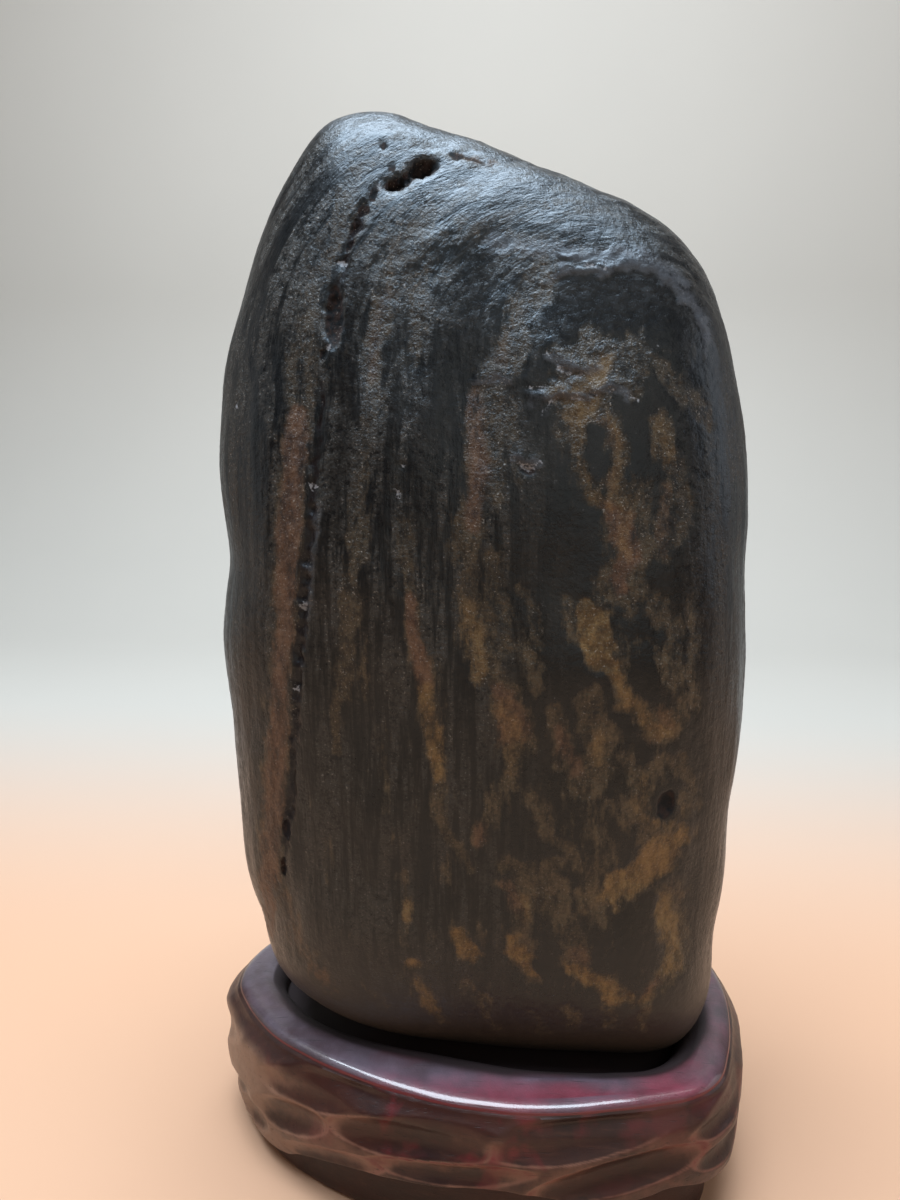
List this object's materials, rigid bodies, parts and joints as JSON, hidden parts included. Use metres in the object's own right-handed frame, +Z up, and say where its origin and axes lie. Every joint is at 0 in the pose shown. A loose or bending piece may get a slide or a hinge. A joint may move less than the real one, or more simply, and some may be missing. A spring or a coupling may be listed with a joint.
{
  "type": "scholars rock on a carved wooden stand",
  "caption": "Tall water-worn dark stone with pits, a groove and banded brown veins, resting in a carved lacquered wooden stand with a gouge-cut wall.",
  "frame": {"origin": "middle of the stand's underside, on the surface it stands on", "axes": "+Z up through the stone, +X to the right along the long side of the stand, -Y out of the face of the stone"},
  "size_m": [0.1245, 0.083, 0.2255],
  "materials": {
    "stone": "worn smooth, satin, with rougher granular brown veins",
    "wood": "dark red-brown lacquer, glossy"
  },
  "bodies": {
    "root": {"stone": "stone", "stand": "wood"}
  },
  "joints": []
}
